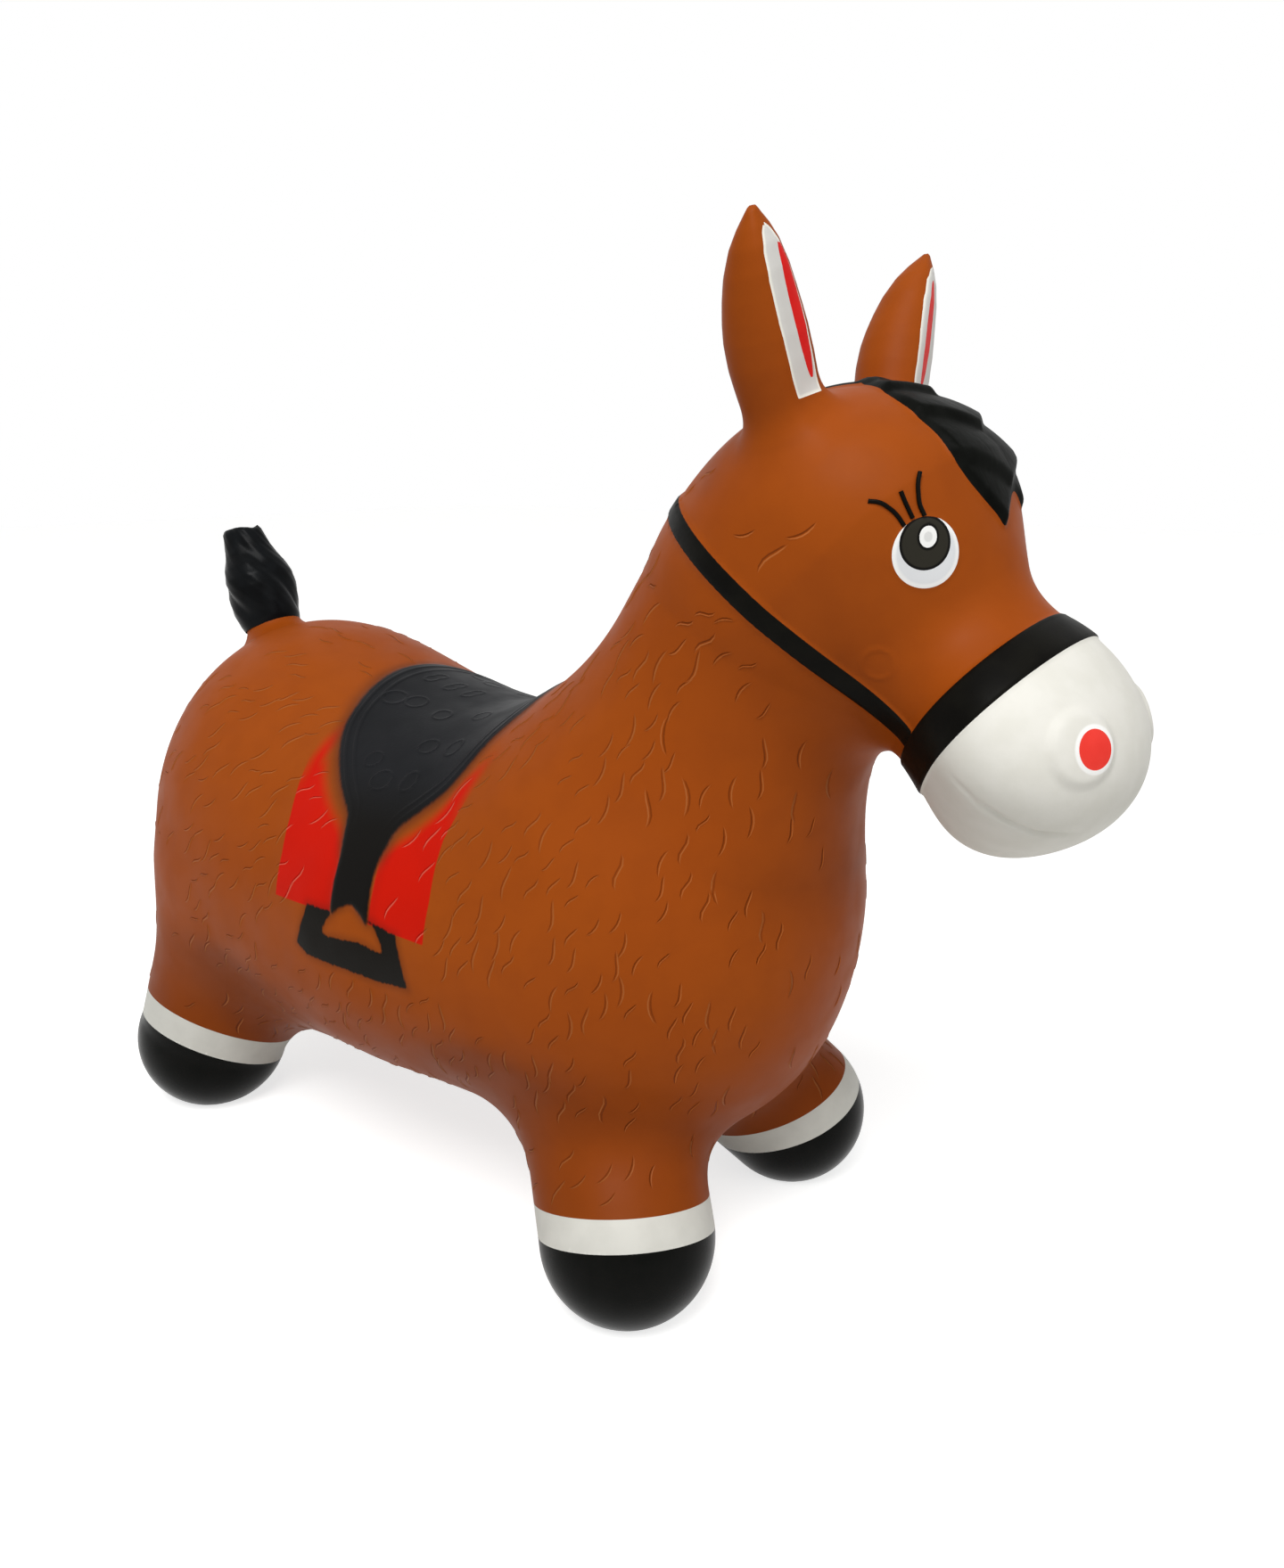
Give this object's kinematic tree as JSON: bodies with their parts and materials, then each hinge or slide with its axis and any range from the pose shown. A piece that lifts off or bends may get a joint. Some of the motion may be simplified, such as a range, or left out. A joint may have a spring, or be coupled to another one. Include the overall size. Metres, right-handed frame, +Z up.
{
  "type": "bouncy ride-on animal",
  "caption": "Air-filled ride-on hopper horse in brown moulded vinyl, with round feet, upright ears, a stub tail and a painted saddle, bridle and face.",
  "frame": {"origin": "on the floor, under the centre of the overall bounds", "axes": "+X towards the nose, +Y towards the horse's left, +Z up; the left and right halves mirror each other across Y"},
  "size_m": [0.5846, 0.2502, 0.4793],
  "materials": {
    "brown_vinyl": "soft moulded vinyl, satin",
    "black_vinyl": "black spray on moulded vinyl, semi-gloss",
    "black_paint": "black spray paint, semi-gloss",
    "charcoal_paint": "charcoal spray paint, satin",
    "white_paint": "warm white spray paint, satin",
    "red_paint": "bright red spray paint, satin"
  },
  "bodies": {
    "trunk": {"trunk_skin": "brown_vinyl", "neck_skin": "brown_vinyl", "head_skin": "brown_vinyl", "muzzle_skin": "white_paint", "ear_root_left": "brown_vinyl", "ear_root_right": "brown_vinyl", "tail_root": "brown_vinyl", "saddle": "charcoal_paint", "saddle_cloth_front_left": "red_paint", "saddle_cloth_front_right": "red_paint", "saddle_cloth_rear_left": "red_paint", "saddle_cloth_rear_right": "red_paint", "stirrup_left": "charcoal_paint", "stirrup_right": "charcoal_paint", "noseband": "black_paint", "cheek_strap": "black_paint", "forelock": "black_vinyl", "mane": "black_vinyl", "eye_white_left": "white_paint", "pupil_left": "black_paint", "eye_spark_left": "white_paint", "nostril_left": "white_paint", "nostril_dot_left": "red_paint", "eye_white_right": "white_paint", "pupil_right": "black_paint", "eye_spark_right": "white_paint", "nostril_right": "white_paint", "nostril_dot_right": "red_paint", "valve_seat": "brown_vinyl"},
    "front_left_foot": {"leg_front_left": "brown_vinyl", "ankle_band_front_left": "white_paint", "hoof_front_left": "black_paint"},
    "front_right_foot": {"leg_front_right": "brown_vinyl", "ankle_band_front_right": "white_paint", "hoof_front_right": "black_paint"},
    "rear_left_foot": {"leg_rear_left": "brown_vinyl", "ankle_band_rear_left": "white_paint", "hoof_rear_left": "black_paint"},
    "rear_right_foot": {"leg_rear_right": "brown_vinyl", "ankle_band_rear_right": "white_paint", "hoof_rear_right": "black_paint"},
    "left_ear": {"ear_left": "brown_vinyl", "ear_lining_left": "white_paint", "ear_inner_left": "red_paint"},
    "right_ear": {"ear_right": "brown_vinyl", "ear_lining_right": "white_paint", "ear_inner_right": "red_paint"},
    "tail": {"tail_tuft": "black_vinyl"},
    "plug": {"valve_plug": "brown_vinyl"}
  },
  "joints": [
    {"name": "front_left_foot_press", "type": "slide", "parent": "trunk", "child": "front_left_foot", "axis": [0, 0, 1], "range_m": [0, 0.02], "stiffness_N_per_m": 2000, "deforming": ["leg_front_left"]},
    {"name": "front_right_foot_press", "type": "slide", "parent": "trunk", "child": "front_right_foot", "axis": [0, 0, 1], "range_m": [0, 0.02], "stiffness_N_per_m": 2000, "deforming": ["leg_front_right"]},
    {"name": "rear_left_foot_press", "type": "slide", "parent": "trunk", "child": "rear_left_foot", "axis": [0, 0, 1], "range_m": [0, 0.02], "stiffness_N_per_m": 2000, "deforming": ["leg_rear_left"]},
    {"name": "rear_right_foot_press", "type": "slide", "parent": "trunk", "child": "rear_right_foot", "axis": [0, 0, 1], "range_m": [0, 0.02], "stiffness_N_per_m": 2000, "deforming": ["leg_rear_right"]},
    {"name": "left_ear_bend", "type": "hinge", "parent": "trunk", "child": "left_ear", "pos_m": [0.1567, 0.0466, 0.4146], "axis": [-0.0971, 0.924, -0.3698], "range_deg": [-12, 12], "stiffness_Nm_per_rad": 0.35, "deforming": ["ear_root_left"]},
    {"name": "right_ear_bend", "type": "hinge", "parent": "trunk", "child": "right_ear", "pos_m": [0.1567, -0.0466, 0.4146], "axis": [0.0971, 0.924, 0.3698], "range_deg": [-12, 12], "stiffness_Nm_per_rad": 0.35, "deforming": ["ear_root_right"]},
    {"name": "tail_bend", "type": "hinge", "parent": "trunk", "child": "tail", "pos_m": [-0.24025, 0, 0.2883], "axis": [0, 1, 0], "range_deg": [-12, 12], "stiffness_Nm_per_rad": 0.4, "deforming": ["tail_root"]},
    {"name": "valve_plug_pull", "type": "slide", "parent": "trunk", "child": "plug", "axis": [0, 0, -1], "range_m": [0, 0.014]}
  ]
}
